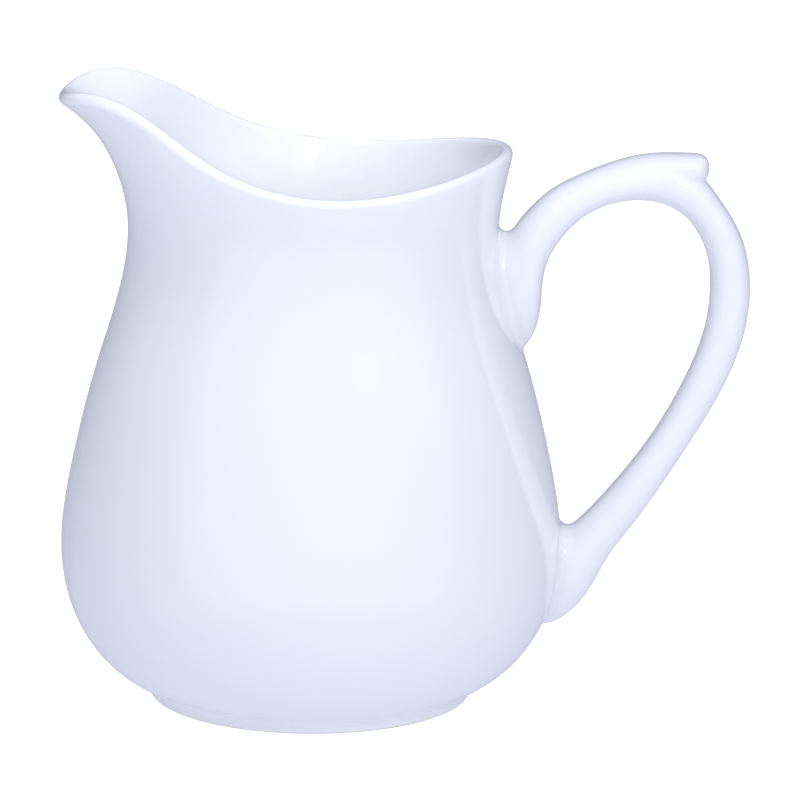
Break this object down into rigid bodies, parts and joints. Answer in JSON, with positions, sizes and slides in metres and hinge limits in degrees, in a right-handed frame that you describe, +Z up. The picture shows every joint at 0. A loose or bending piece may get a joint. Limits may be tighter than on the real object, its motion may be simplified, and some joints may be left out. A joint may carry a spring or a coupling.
{
  "type": "ceramic pitcher",
  "caption": "White glazed ceramic pitcher with a pear-shaped body, a raised pouring lip, a low foot ring and a loop handle with a thumb rest.",
  "frame": {"origin": "centre of the foot ring on the surface the pitcher stands on", "axes": "+Z up, +X towards the handle, -X towards the pouring lip, Y across the pitcher"},
  "size_m": [0.1715, 0.1254, 0.1548],
  "materials": {
    "white_glaze": "glossy cool-white glaze",
    "bare_foot": "glazed sides and a bare, wiped bearing edge"
  },
  "bodies": {
    "root": {"body": "white_glaze", "foot_ring": "bare_foot", "handle": "white_glaze", "handle_upper_joint": "white_glaze", "handle_lower_joint": "white_glaze"}
  },
  "joints": []
}
